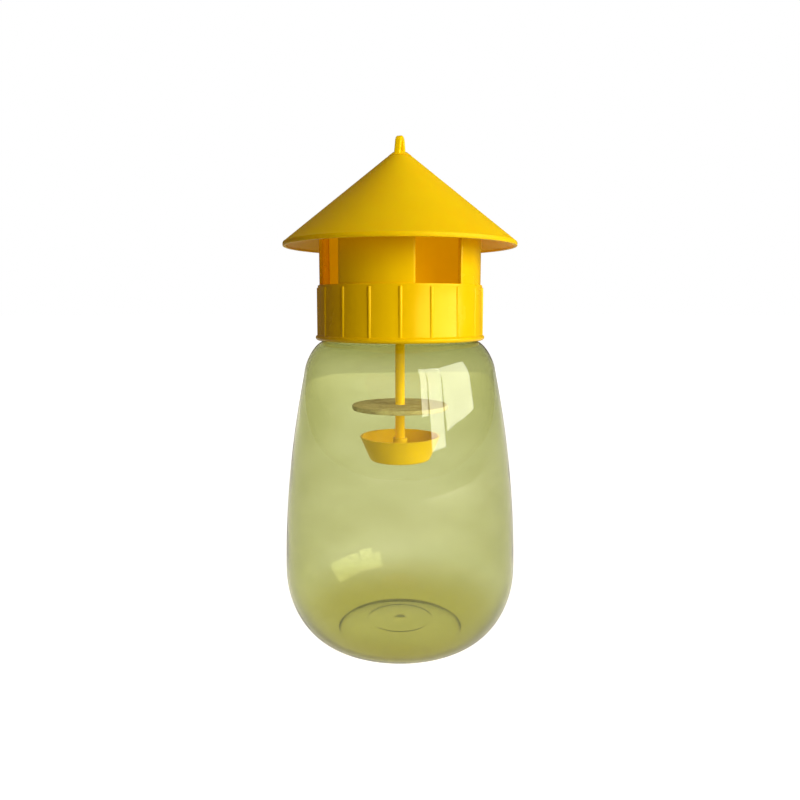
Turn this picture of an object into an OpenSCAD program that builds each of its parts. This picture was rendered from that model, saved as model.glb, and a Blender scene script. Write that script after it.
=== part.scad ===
// Hanging wasp trap: clear screw jar, slotted collar, entry funnel, conical roof with a
// hanging loop, and a stem that carries an attractant disc and a bait cup inside the jar.
// Units are millimetres, +Z is up and the origin is the centre of the jar's foot.

/* [Jar] */
// Widest diameter of the jar, at the top of its rounded heel
jar_d = 104.6; // [96:0.2:130]
// Diameter of the jar where the straight body meets the shoulder
shoulder_d = 85.2; // [80:0.2:94]
// Outside diameter of the flat standing ring
foot_d = 62.4; // [50:0.4:74]
// Width of the flat standing ring
foot_w = 2.4; // [1.5:0.1:5]
// Height of the rounded heel
heel_h = 31; // [22:0.5:42]
// Height of the body between the heel and the shoulder
body_h = 91.2; // [76:0.2:120]
// Height of the rounded shoulder up to the neck
shoulder_h = 13.4; // [10:0.2:18]
// Wall thickness of the jar body
jar_wall = 1; // [0.7:0.05:1.6]
// Wall thickness of the jar neck
neck_wall = 1.6; // [1.2:0.05:2.2]
// Height of the neck above the shoulder
neck_h = 20.6; // [18:0.1:26]
// Height of the push-up in the middle of the base
push_up = 4.4; // [2:0.1:8]

/* [Neck thread] */
// Diameter of the neck wall at the root of its thread
neck_d = 66.8; // [55:0.2:71]
// Thread pitch
thread_pitch = 4.2; // [3.8:0.1:5]
// Turns of thread on the neck and in the collar
thread_turns = 1.25; // [1:0.05:1.6]
// Height of the thread ridge above the wall
thread_depth = 1.1; // [0.8:0.05:1.3]
// Radial clearance between each ridge and the opposite wall
thread_clear = 0.4; // [0.3:0.05:0.6]

/* [Collar] */
// Height of the ribbed skirt
skirt_h = 23.9; // [21:0.1:29]
// Wall thickness of the skirt
skirt_wall = 1.3; // [1:0.05:2]
// Number of grip ribs around the skirt
rib_count = 18; // [12:1:30]
// Width of one grip rib
rib_w = 1.8; // [1.2:0.1:2.6]
// Height of a grip rib above the skirt
rib_proud = 0.45; // [0.3:0.05:0.8]
// Angle of the first grip rib from the middle of a pillar
rib_turn = 8; // [0:0.5:20]
// Height of the rolled bead at the foot of the skirt
bead_h = 2.3; // [1.6:0.1:3]
// Height of the entry windows
window_h = 24.6; // [18:0.2:32]
// Width of each entry window, measured as an angle
window_deg = 34.6; // [24:0.2:50]
// Thickness of the slotted wall
wall_t = 1.8; // [1.4:0.1:2.4]
// Thickness of the ledge inside the collar
ledge_t = 1.8; // [1.2:0.1:2.6]
// Thickness of the crossed baffles between the entry windows
baffle_t = 1.5; // [1.1:0.1:2.2]

/* [Roof] */
// Diameter of the roof rim
roof_d = 102; // [92:0.5:124]
// Slope of the roof above the horizontal
roof_slope = 38.93; // [30:0.1:44]
// Thickness of the roof sheet
roof_wall = 1.5; // [1.1:0.05:2.2]
// Height of the upright lip around the rim
lip_h = 1.6; // [1:0.1:3]
// Radius of the pegs that hold the roof on the collar
peg_r = 1.5; // [1.2:0.05:2]
// Height of the pegs above the collar
peg_h = 3.5; // [2.5:0.1:4]

/* [Hanging loop] */
// Height of the loop above its round base
loop_h = 6.95; // [5.6:0.05:9]
// Width of the loop at its foot
loop_w = 9.4; // [7.6:0.1:9.8]
// Width of the loop near its top
loop_top_w = 6.4; // [5.2:0.1:7.5]
// Thickness of the strap that forms the loop
strap_t = 1.8; // [1.4:0.1:2.2]
// Depth of the strap, front to back
strap_d = 2.8; // [2:0.1:3]

/* [Entry funnel] */
// Inside radius of the funnel throat
throat_r = 13; // [11:0.1:16]
// Wall thickness of the funnel
funnel_wall = 1.2; // [0.9:0.05:1.6]
// Drop of the funnel cone from its flange to its throat
funnel_drop = 14.9; // [11:0.1:17]

/* [Stem, disc and cup] */
// Radius of the stem
stem_r = 2.17; // [1.9:0.01:2.8]
// Distance from the stem's shoulder down to the stop under the disc
disc_drop = 28.4; // [20:0.1:34]
// Distance from the stem's shoulder down to the stem's lower end
stem_drop = 49.6; // [44:0.1:60]
// Diameter of the attractant disc
disc_d = 43.4; // [34:0.2:52]
// Thickness of the attractant disc
disc_t = 2.1; // [1.5:0.1:3]
// Diameter of the bait cup at its rim
cup_d = 36.4; // [31:0.2:44]
// Diameter of the cup floor
cup_floor_d = 27; // [23:0.2:30]
// Height of the bait cup
cup_h = 10.9; // [9.2:0.1:13.2]
// Wall thickness of the bait cup
cup_wall = 0.9; // [0.7:0.05:1.2]

/* [Fits] */
// Radial clearance of a push fit
push_clear = 0.05; // [0.02:0.01:0.1]
// Radial clearance of the hole in the disc
loose_clear = 0.3; // [0.3:0.05:0.5]
// Gap left between faces that rest on one another
seat_gap = 0.1; // [0.05:0.05:0.3]

/* [Hidden] */
$fn = 144;
eps = 0.02;

// jar heights and radii
jar_r = jar_d / 2;
body_z = heel_h + body_h;
neck_z = body_z + shoulder_h;
rim_z = neck_z + neck_h;
neck_r = neck_d / 2;
neck_in_r = neck_r - neck_wall;
transfer_r = neck_r + 0.9;
foot_r = foot_d / 2;
heel_steps = 14;
heel_out_power = 1.1;
heel_up_power = 1.06;
heel_foot_share = 0.15;
base_step_r = foot_r * 0.86;
base_step_z = push_up * 0.6;
base_ring_r = foot_r * 0.48;
base_dip = 0.4;
body_steps = 14;
body_power = 1.98;
shoulder_steps = 10;
shoulder_power = 1.34;
shoulder_sink = 0.4;
foot_thicken = 1.2;
shoulder_thicken = 1.4;
neck_root_h = 0.3;
neck_root_in_h = 1.2;
rim_chamfer = 0.4;

// thread
crest_r = neck_r + thread_depth;
thread_root_w = 2;
thread_crest_w = 1;
thread_z = neck_z + 9.9;
thread_play = 1.75;
thread_steps = 40;
thread_fade = 4;
thread_bury = 0.25;
thread_least = 0.05;

// collar
skirt_z = neck_z + 0.5;
sill_z = skirt_z + skirt_h;
skirt_in_r = crest_r + thread_clear;
skirt_r = skirt_in_r + skirt_wall;
skirt_foot_r = skirt_r + 0.3;
bead_r = skirt_foot_r + 0.95;
wall_r = skirt_r - 0.75;
wall_in_r = wall_r - wall_t;
ledge_in_r = neck_in_r - 2.3;
ledge_z = sill_z - ledge_t;
window_top_z = sill_z + window_h;
crown_t = 2;
band_h = 3.7;
crown_z = window_top_z + band_h;
crown_in_r = wall_in_r - 7.2;
rib_r = rib_w / 2;
chamfer = 0.75;
mouth_chamfer = 0.5;
bead_steps = 10;
rib_foot = 0.6;
window_reach = 1.5;
retainer_r = neck_r + 0.5;
retainer_h = 0.9;
retainer_slant = 0.15;
retainer_lead = 0.8;

// funnel
flange_t = 1.5;
flange_top_z = ledge_z - seat_gap;
flange_z = flange_top_z - flange_t;
flange_r = skirt_in_r - thread_clear;
mouth_r = ledge_in_r - 0.5;
throat_top_z = flange_top_z - funnel_drop;
throat_h = 5;
throat_shift = 0.5;
mouth_share = 0.6;
throat_z = throat_top_z - throat_h;

// hub under the baffles
hub_r = stem_r + 1.05;
hub_z = skirt_z - 0.4;
socket_r = stem_r + push_clear;
socket_h = 8.3;

// roof
slope_k = tan(roof_slope);
sheet_k = roof_wall / cos(roof_slope);
roof_rest = 0.36;
rim_chamfer_d = 0.3;
rim_corner = 0.2;
boss_reach = 4;
under_apex_z = crown_z + roof_rest + slope_k * wall_r;
apex_z = under_apex_z + sheet_k;
roof_r = roof_d / 2;
rim_top_z = apex_z - slope_k * roof_r;
tip_r = max(loop_w / 2, 4) + 0.5;
tip_z = apex_z - slope_k * tip_r;
tip_t = 2;
peg_ring_r = wall_in_r - 4.6;
boss_r = peg_r + 1.4;
peg_deg = 90;

// loop
loop_base_z = tip_z + seat_gap / 2;
loop_base_h = 1.7;
loop_base_r = tip_r - 0.05;
loop_stub_r = 1.9;
barb_r = 2.35;
barb_h = 2.2;
slot_w = 0.8;
slot_share = 0.6;
barb_taper = 0.5;
arch_steps = 16;

// stem, disc and cup
stem_chamfer = 0.4;
shoulder_w = 0.3;
shoulder_len = 2.4;
shoulder_run = 0.6;
shoulder_r = stem_r + shoulder_w;
shoulder_z = hub_z - seat_gap - shoulder_len;
stop_z = shoulder_z - disc_drop;
stop_r = 5;
stop_t = 1.5;
stop_edge = 0.6;
stop_root_h = 0.8;
stop_lead = 0.3;
stem_foot_z = shoulder_z - stem_drop;
disc_z = stop_z + seat_gap / 2;
cup_base_t = 1.2;
cup_relief = 0.6;
cup_z = stem_foot_z - seat_gap * 2 - cup_base_t - cup_relief;
cup_r = cup_d / 2;
cup_floor_r = cup_floor_d / 2;
cup_round = 1.2;
cup_fillet = 1;
cup_steps = 8;
disc_edge = 0.3;
cup_boss_r = stem_r + 1.1;
cup_boss_h = cup_h - 0.9;

// points of a circular arc
function arc(cx, cy, r, from, to, n) =
    [for (i = [0 : n]) [cx + r * cos(from + (to - from) * i / n), cy + r * sin(from + (to - from) * i / n)]];

// rounded heel, from the standing ring up to the widest point
function heel(inset) = [
    for (i = [0 : heel_steps])
    let (t = 90 * i / heel_steps)
    [
        foot_r + (jar_r - foot_r) * pow(sin(t), heel_out_power)
            - inset * (heel_foot_share + (1 - heel_foot_share) * sin(t)),
        heel_h * (1 - pow(cos(t), heel_up_power)) + inset * cos(t)
    ]
];

// gently narrowing body above the heel
function body(inset) = [
    for (i = [1 : body_steps])
    let (s = i / body_steps)
    [jar_r - (jar_r - shoulder_d / 2) * pow(s, body_power) - inset, heel_h + body_h * s]
];

// rounded shoulder up to the neck
function shoulder(inset) = [
    for (i = [1 : shoulder_steps])
    let (t = 90 * i / shoulder_steps)
    [
        transfer_r + (shoulder_d / 2 - transfer_r) * pow(cos(t), shoulder_power) - inset,
        body_z + (shoulder_h - inset * shoulder_sink) * pow(sin(t), shoulder_power)
    ]
];

// helical ridge that grows from radius root to radius crest
module thread(root, crest, start_z) {
    out = crest > root ? 1 : -1;
    inner = root - out * thread_bury;
    count = round(thread_steps * thread_turns);
    rings = [
        for (i = [0 : count])
        let (
            a = 360 * thread_turns * i / count,
            z = start_z + thread_pitch * thread_turns * i / count,
            f = max(thread_least, min(1, i / thread_fade, (count - i) / thread_fade)),
            tip = root + (crest - root) * f
        )
        each [
            [inner * cos(a), inner * sin(a), z - thread_root_w / 2],
            [tip * cos(a), tip * sin(a), z - thread_crest_w / 2],
            [tip * cos(a), tip * sin(a), z + thread_crest_w / 2],
            [inner * cos(a), inner * sin(a), z + thread_root_w / 2]
        ]
    ];
    sides = [
        for (i = [0 : count - 1], j = [0 : 3])
        let (p = 4 * i + j, q = 4 * i + (j + 1) % 4)
        each out > 0
            ? [[p, q, q + 4], [p, q + 4, p + 4]]
            : [[q, p, q + 4], [p, p + 4, q + 4]]
    ];
    last = 4 * count;
    ends = out > 0
        ? [[3, 2, 1, 0], [last, last + 1, last + 2, last + 3]]
        : [[0, 1, 2, 3], [last + 3, last + 2, last + 1, last]];
    polyhedron(points = rings, faces = concat(sides, ends), convexity = 6);
}

// underside from the middle out to the standing ring, raised by lift
function base(lift) = [
    [0, push_up + lift],
    [base_ring_r - base_dip, push_up + lift],
    [base_ring_r + base_dip, push_up - base_dip + lift],
    [base_step_r, base_step_z + lift]
];

module jar() {
    outside = concat(
        base(0),
        [[foot_r - foot_w, 0]],
        heel(0),
        body(0),
        shoulder(0),
        [
            [neck_r, neck_z + neck_root_h],
            [neck_r, rim_z - rim_chamfer],
            [neck_r - rim_chamfer, rim_z]
        ]
    );
    inside = concat(
        base(jar_wall),
        [[foot_r - foot_w, jar_wall * foot_thicken]],
        heel(jar_wall),
        body(jar_wall),
        shoulder(jar_wall * shoulder_thicken),
        [
            [neck_in_r, neck_z + neck_root_in_h],
            [neck_in_r, rim_z - rim_chamfer],
            [neck_in_r + rim_chamfer, rim_z]
        ]
    );
    backwards = [for (i = [len(inside) - 1 : -1 : 0]) inside[i]];
    color([0.78, 0.82, 0.5, 0.35])
    union() {
        rotate_extrude() polygon(concat(outside, backwards));
        thread(neck_r, crest_r, thread_z);
    }
}

module collar_shell() {
    bead_y = skirt_z + bead_h / 2;
    profile = concat(
        [[skirt_in_r, skirt_z + mouth_chamfer], [skirt_in_r + mouth_chamfer, skirt_z]],
        arc(bead_r - bead_h / 2, bead_y, bead_h / 2, -90, 90, bead_steps),
        [
            [skirt_foot_r, skirt_z + bead_h],
            [skirt_r, sill_z - chamfer],
            [wall_r, sill_z],
            [wall_r, crown_z],
            [crown_in_r, crown_z],
            [crown_in_r, crown_z - crown_t],
            [wall_in_r, crown_z - crown_t],
            [wall_in_r, sill_z],
            [ledge_in_r, sill_z],
            [ledge_in_r, ledge_z],
            [skirt_in_r, ledge_z]
        ],
        [
            [skirt_in_r, flange_z - seat_gap],
            [retainer_r, flange_z - seat_gap - retainer_slant],
            [retainer_r, flange_z - seat_gap - retainer_h],
            [skirt_in_r, flange_z - seat_gap - retainer_h - retainer_lead]
        ]
    );
    rotate_extrude() polygon(profile);
}

module ribs() {
    for (i = [0 : rib_count - 1])
    rotate([0, 0, rib_turn + 360 * i / rib_count])
    translate([(skirt_r + skirt_foot_r) / 2 + rib_proud - rib_r, 0, skirt_z + bead_h * rib_foot])
    cylinder(r = rib_r, h = skirt_h - chamfer - bead_h * rib_foot);
}

module windows() {
    reach = wall_r * window_reach;
    for (i = [0 : 3])
    rotate([0, 0, 45 + 90 * i])
    translate([0, 0, sill_z])
    linear_extrude(height = window_h)
    polygon([
        [0, 0],
        [reach, -reach * tan(window_deg / 2)],
        [reach, reach * tan(window_deg / 2)]
    ]);
}

// crossed upright baffles with the hub that hangs below their middle
module baffles() {
    reach = wall_in_r + wall_t / 2;
    for (i = [0 : 1])
    rotate([0, 0, 90 * i])
    translate([-reach, -baffle_t / 2, ledge_z])
    cube([2 * reach, baffle_t, crown_z - ledge_z]);
    translate([0, 0, hub_z])
    cylinder(r = hub_r, h = sill_z - hub_z);
}

module collar() {
    color([0.96, 0.8, 0.02])
    union() {
        difference() {
            union() {
                collar_shell();
                ribs();
            }
            windows();
        }
        difference() {
            baffles();
            translate([0, 0, hub_z - eps])
            cylinder(r = socket_r, h = socket_h + eps);
        }
        for (i = [0 : 3])
        rotate([0, 0, peg_deg * i])
        translate([peg_ring_r, 0, crown_z - eps])
        cylinder(r = peg_r, h = peg_h + eps);
        thread(skirt_in_r, skirt_in_r - thread_depth, thread_z - thread_play);
    }
}

module entry_funnel() {
    color([0.95, 0.78, 0.03])
    rotate_extrude() polygon([
        [flange_r, flange_z],
        [flange_r, flange_top_z],
        [mouth_r, flange_top_z],
        [throat_r, throat_top_z],
        [throat_r, throat_z],
        [throat_r + funnel_wall, throat_z],
        [throat_r + funnel_wall, throat_top_z - throat_shift],
        [mouth_r + funnel_wall * mouth_share, flange_z]
    ]);
}

module roof_shell() {
    rotate_extrude() polygon([
        [0, tip_z],
        [tip_r, tip_z],
        [roof_r - rim_chamfer_d, rim_top_z + rim_chamfer_d * slope_k],
        [roof_r, rim_top_z - rim_corner],
        [roof_r, rim_top_z - lip_h + rim_chamfer_d],
        [roof_r - rim_chamfer_d, rim_top_z - lip_h],
        [roof_r - roof_wall + rim_corner, rim_top_z - lip_h],
        [roof_r - roof_wall, under_apex_z - slope_k * (roof_r - roof_wall)],
        [(under_apex_z - tip_z + tip_t) / slope_k, tip_z - tip_t],
        [0, tip_z - tip_t]
    ]);
}

module roof_bosses() {
    intersection() {
        for (i = [0 : 3])
        rotate([0, 0, peg_deg * i])
        translate([peg_ring_r, 0, crown_z + seat_gap / 2])
        cylinder(r = boss_r, h = slope_k * boss_r * boss_reach);
        rotate_extrude() polygon([
            [0, crown_z],
            [wall_r, crown_z],
            [wall_r, under_apex_z + sheet_k / 2 - slope_k * wall_r],
            [0, under_apex_z + sheet_k / 2]
        ]);
    }
}

module roof() {
    color([0.98, 0.83, 0.02])
    difference() {
        union() {
            roof_shell();
            roof_bosses();
        }
        for (i = [0 : 3])
        rotate([0, 0, peg_deg * i])
        translate([peg_ring_r, 0, crown_z])
        cylinder(r = peg_r + push_clear, h = peg_h + 2 * seat_gap);
        translate([0, 0, tip_z - tip_t - eps])
        cylinder(r = loop_stub_r + push_clear, h = tip_t + 2 * eps);
    }
}

// outline of an upright arch, narrower at the top
function arch(w, top_w, h) = concat(
    [[w / 2, 0]],
    arc(0, h - top_w / 2, top_w / 2, 0, 180, arch_steps),
    [[-w / 2, 0]]
);

module hanging_loop() {
    barb_z = tip_z - tip_t - seat_gap;
    color([0.98, 0.83, 0.02])
    union() {
        translate([-strap_d / 2, 0, loop_base_z + eps])
        rotate([90, 0, 90])
        linear_extrude(height = strap_d)
        difference() {
            polygon(arch(loop_w, loop_top_w, loop_base_h + loop_h - eps));
            translate([0, loop_base_h])
            polygon(arch(loop_w - 2 * strap_t, loop_top_w - 2 * strap_t, loop_h - strap_t));
        }
        translate([0, 0, loop_base_z])
        rotate_extrude() polygon([
            [0, 0],
            [loop_base_r, 0],
            [loop_base_r - loop_base_h / slope_k, loop_base_h],
            [0, loop_base_h]
        ]);
        difference() {
            rotate_extrude() polygon([
                [0, loop_base_z + eps],
                [loop_stub_r, loop_base_z + eps],
                [loop_stub_r, barb_z],
                [barb_r, barb_z],
                [loop_stub_r - barb_taper, barb_z - barb_h],
                [0, barb_z - barb_h]
            ]);
            translate([-slot_w / 2, -barb_r * 2, barb_z - barb_h - eps])
            cube([slot_w, barb_r * 4, barb_h + tip_t * slot_share]);
        }
    }
}

module stem() {
    top_z = hub_z + socket_h - 2 * seat_gap;
    color([0.93, 0.77, 0.05])
    rotate_extrude() polygon([
        [0, stem_foot_z],
        [stem_r - stem_chamfer, stem_foot_z],
        [stem_r, stem_foot_z + stem_chamfer],
        [stem_r, stop_z - stop_t - stop_root_h],
        [stop_r - stop_edge, stop_z - stop_t + stop_lead],
        [stop_r, stop_z - stop_t + stop_edge],
        [stop_r, stop_z],
        [stem_r, stop_z],
        [stem_r, shoulder_z - shoulder_run],
        [shoulder_r, shoulder_z],
        [shoulder_r, hub_z - seat_gap],
        [stem_r, hub_z - seat_gap],
        [stem_r, top_z - stem_chamfer],
        [stem_r - stem_chamfer, top_z],
        [0, top_z]
    ]);
}

module attractant_disc() {
    color([0.72, 0.66, 0.5])
    difference() {
        rotate_extrude() polygon([
            [0, disc_z],
            [disc_d / 2 - disc_edge, disc_z],
            [disc_d / 2, disc_z + disc_edge],
            [disc_d / 2, disc_z + disc_t - disc_edge],
            [disc_d / 2 - disc_edge, disc_z + disc_t],
            [0, disc_z + disc_t]
        ]);
        translate([0, 0, disc_z - 1])
        cylinder(r = stem_r + loose_clear, h = disc_t + 2);
    }
}

module bait_cup() {
    lean = atan((cup_r - cup_floor_r) / cup_h);
    pull = 1 / cos(lean) - tan(lean);
    wall_w = cup_wall / cos(lean);
    floor_z = cup_z + cup_base_t;
    floor_in_r = cup_floor_r + cup_base_t * tan(lean) - wall_w;
    color([0.93, 0.77, 0.05])
    difference() {
        union() {
            rotate_extrude() polygon(concat(
                [[0, cup_z]],
                arc(cup_floor_r - cup_round * pull, cup_z + cup_round, cup_round, -90, -lean, cup_steps),
                [
                    [cup_r, cup_z + cup_h],
                    [cup_r - wall_w, cup_z + cup_h]
                ],
                arc(floor_in_r - cup_fillet * pull, floor_z + cup_fillet, cup_fillet, -lean, -90, cup_steps),
                [[0, floor_z]]
            ));
            translate([0, 0, cup_z + cup_base_t / 2])
            cylinder(r = cup_boss_r, h = cup_boss_h - cup_base_t / 2);
        }
        translate([0, 0, stem_foot_z - seat_gap])
        cylinder(r = socket_r, h = cup_boss_h + 2);
    }
}

jar();
collar();
entry_funnel();
roof();
hanging_loop();
stem();
attractant_disc();
bait_cup();
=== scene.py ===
"""Hanging wasp trap: the finished look, built round its parts. Lengths are in metres."""
import logging
import math
from dataclasses import dataclass, field
from enum import Enum

import bmesh
import bpy
from mathutils import Matrix, Vector, noise


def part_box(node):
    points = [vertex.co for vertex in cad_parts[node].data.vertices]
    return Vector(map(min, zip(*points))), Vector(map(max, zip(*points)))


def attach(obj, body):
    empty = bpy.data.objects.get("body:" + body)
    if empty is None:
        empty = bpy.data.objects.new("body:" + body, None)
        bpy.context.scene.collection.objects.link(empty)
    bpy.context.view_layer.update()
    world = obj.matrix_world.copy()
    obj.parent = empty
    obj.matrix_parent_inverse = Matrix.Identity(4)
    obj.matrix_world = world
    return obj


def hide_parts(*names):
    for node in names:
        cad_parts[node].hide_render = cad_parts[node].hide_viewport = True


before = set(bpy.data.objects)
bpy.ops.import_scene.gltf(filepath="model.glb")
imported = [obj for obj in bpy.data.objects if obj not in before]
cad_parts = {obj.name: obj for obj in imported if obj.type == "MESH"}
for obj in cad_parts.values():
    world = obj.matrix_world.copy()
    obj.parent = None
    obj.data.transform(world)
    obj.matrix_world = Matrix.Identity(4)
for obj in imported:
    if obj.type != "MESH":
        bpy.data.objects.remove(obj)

log = logging.getLogger("wasp_trap")
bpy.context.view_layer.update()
MM = 0.001
Profile = list[tuple[float, float]]
Colour = tuple[float, float, float]
AXIS = Vector((0.0, 0.0, 1.0))
FULL_TURN = 360.0
WHITE = (1.0, 1.0, 1.0, 1.0)
BLACK = (0.0, 0.0, 0.0, 1.0)


class Part(Enum):
    """Names of the bodies that the pieces ride on."""

    JAR = "jar"
    ENTRY = "entry"
    LID = "lid"
    TOP = "top"
    STEM = "stem"
    DISC = "disc"
    CUP = "cup"


class Socket(Enum):
    """Kinds of socket that the shared node groups use."""

    NUMBER = "NodeSocketFloat"
    COLOUR = "NodeSocketColor"


def arc(centre: tuple[float, float], radius: float, start: float, end: float, steps: int) -> Profile:
    """Points along a circular arc in the plane of a profile.

    Args:
        centre: the arc's centre, as radius from the axis and height.
        radius: the arc's own radius.
        start: first angle in degrees, from outwards towards up.
        end: last angle in degrees.
        steps: number of chords.

    Returns:
        The points, both ends included.
    """
    turn = [math.radians(start + (end - start) * i / steps) for i in range(steps + 1)]
    return [(centre[0] + radius * math.cos(a), centre[1] + radius * math.sin(a)) for a in turn]


def relax(points: Profile, rounds: int) -> Profile:
    """Evens out the kinks of a profile while both of its ends stay where they are.

    Args:
        points: the profile, closely spaced.
        rounds: how many times each point moves half way to the middle of its neighbours.

    Returns:
        The smoother profile.
    """
    line = [Vector(p) for p in points]
    for _ in range(rounds):
        middle = [(line[i - 1] + line[i + 1]) / 2 for i in range(1, len(line) - 1)]
        line = [line[0], *[(p + m) / 2 for p, m in zip(line[1:-1], middle)], line[-1]]
    return [(p[0], p[1]) for p in line]


@dataclass
class Shape:
    """A mesh being made, with the few operations that this object's pieces share."""

    name: str
    bm: bmesh.types.BMesh = field(default_factory=bmesh.new)
    weld: float = 0.001 * MM

    def spin(
        self, profile: Profile, steps: int, closed: bool = False, sweep: float = FULL_TURN,
        start: float = 0.0,
    ) -> None:
        """Spins a profile about the upright axis.

        Args:
            profile: points as radius and height.
            steps: number of steps round the sweep.
            closed: True if the profile is a closed outline.
            sweep: angle of the spin in degrees.
            start: angle where the spin starts, in degrees.
        """
        a = math.radians(start)
        verts = [self.bm.verts.new((r * math.cos(a), r * math.sin(a), z)) for r, z in profile]
        edges = [self.bm.edges.new(pair) for pair in zip(verts, verts[1:])]
        if closed:
            edges.append(self.bm.edges.new((verts[-1], verts[0])))
        before = set(self.bm.verts) - set(verts)
        bmesh.ops.spin(
            self.bm, geom=verts + edges, cent=(0, 0, 0), axis=AXIS, dvec=(0, 0, 0),
            angle=math.radians(sweep), steps=steps, use_merge=sweep == FULL_TURN, use_duplicate=False,
        )
        if sweep != FULL_TURN and closed:
            rims = [e for e in self.bm.edges if e.is_boundary]
            bmesh.ops.holes_fill(self.bm, edges=rims, sides=len(profile))
        fresh = [v for v in self.bm.verts if v not in before]
        bmesh.ops.remove_doubles(self.bm, verts=fresh, dist=self.weld)

    def soften(self, width: float, segments: int = 3, over: float = 25.0) -> None:
        """Rounds the sharp edges.

        Args:
            width: width of the rounding.
            segments: faces across the rounding.
            over: only edges that turn by more than this many degrees.
        """
        bmesh.ops.recalc_face_normals(self.bm, faces=self.bm.faces)
        limit = math.radians(over)
        sharp = [e for e in self.bm.edges if e.is_manifold and e.calc_face_angle(0.0) > limit]
        self.bevel(sharp, width, segments)

    def bevel(self, edges: list[bmesh.types.BMEdge], width: float, segments: int = 3) -> None:
        """Rounds the given edges.

        Args:
            edges: the edges.
            width: width of the rounding.
            segments: faces across the rounding.
        """
        bmesh.ops.bevel(
            self.bm, geom=edges, offset=width, offset_type="OFFSET", segments=segments, profile=0.5,
            affect="EDGES", clamp_overlap=True, material=-1,
        )

    def finish(
        self, part: Part, replaces: tuple[str, ...], crease: float = 40.0,
    ) -> bpy.types.Object:
        """Turns the mesh into a piece that rides on a body.

        Args:
            part: the body that the piece moves with.
            replaces: the parts' nodes that the piece stands for.
            crease: edges sharper than this many degrees stay sharp in shading.

        Returns:
            The new object.
        """
        bmesh.ops.recalc_face_normals(self.bm, faces=self.bm.faces)
        mesh = bpy.data.meshes.new(self.name)
        self.bm.to_mesh(mesh)
        self.bm.free()
        mesh.shade_smooth()
        mesh.set_sharp_from_angle(angle=math.radians(crease))
        piece = bpy.data.objects.new(self.name, mesh)
        bpy.context.scene.collection.objects.link(piece)
        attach(piece, part.value)
        if replaces:
            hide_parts(*replaces)
        log.info("made %s: %d faces", self.name, len(mesh.polygons))
        return piece


class Group:
    """A shared shader node group being made."""

    def __init__(self, name: str, inputs: dict[str, float], outputs: dict[str, Socket]) -> None:
        """Starts an empty group.

        Args:
            name: the group's name.
            inputs: number inputs with their default values.
            outputs: output names and their kinds.
        """
        self.tree = bpy.data.node_groups.new(name, "ShaderNodeTree")
        for title, value in inputs.items():
            made = self.tree.interface.new_socket(title, in_out="INPUT", socket_type=Socket.NUMBER.value)
            made.default_value = value
        for title, kind in outputs.items():
            self.tree.interface.new_socket(title, in_out="OUTPUT", socket_type=kind.value)
        self.entry = self.tree.nodes.new("NodeGroupInput")
        self.exit = self.tree.nodes.new("NodeGroupOutput")

    def add(self, kind: str, values: dict | None = None, **settings: object) -> bpy.types.Node:
        """Adds a node to the group.

        Args:
            kind: the node's type, without its ShaderNode prefix.
            values: constants for the node's inputs.
            settings: properties of the node.

        Returns:
            The new node.
        """
        return add_node(self.tree, kind, values, **settings)

    def link(self, source: bpy.types.NodeSocket, target: bpy.types.NodeSocket) -> None:
        """Links two sockets of the group."""
        self.tree.links.new(source, target)


def set_values(node: bpy.types.Node, values: dict) -> None:
    """Sets constants on a node's inputs.

    Args:
        node: the node.
        values: input names or numbers, with their constants.
    """
    for key, value in values.items():
        node.inputs[key].default_value = value


def add_node(
    tree: bpy.types.NodeTree, kind: str, values: dict | None = None, **settings: object,
) -> bpy.types.Node:
    """Adds a node to a tree.

    Args:
        tree: the node tree.
        kind: the node's type, without its ShaderNode prefix.
        values: constants for the node's inputs.
        settings: properties of the node.

    Returns:
        The new node.
    """
    node = tree.nodes.new("ShaderNode" + kind)
    for key, value in settings.items():
        setattr(node, key, value)
    set_values(node, values or {})
    return node


def new_material(name: str) -> tuple[bpy.types.Material, bpy.types.NodeTree, bpy.types.Node]:
    """Starts a material.

    Args:
        name: the material's name.

    Returns:
        The material, its node tree and its main shader.
    """
    material = bpy.data.materials.new(name)
    material.use_nodes = True
    return material, material.node_tree, material.node_tree.nodes["Principled BSDF"]


def shown_rays(tree: bpy.types.NodeTree, path: bpy.types.Node) -> bpy.types.NodeSocket:
    """Marks the rays that meet the backdrop straight on or through the clear jar.

    Args:
        tree: the node tree.
        path: its light path node.

    Returns:
        A socket that is 1 for those rays and 0 for the others.
    """
    clear = add_node(tree, "Math", operation="MAXIMUM")
    tree.links.new(path.outputs["Is Camera Ray"], clear.inputs[0])
    tree.links.new(path.outputs["Is Transmission Ray"], clear.inputs[1])
    return clear.outputs[0]


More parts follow.
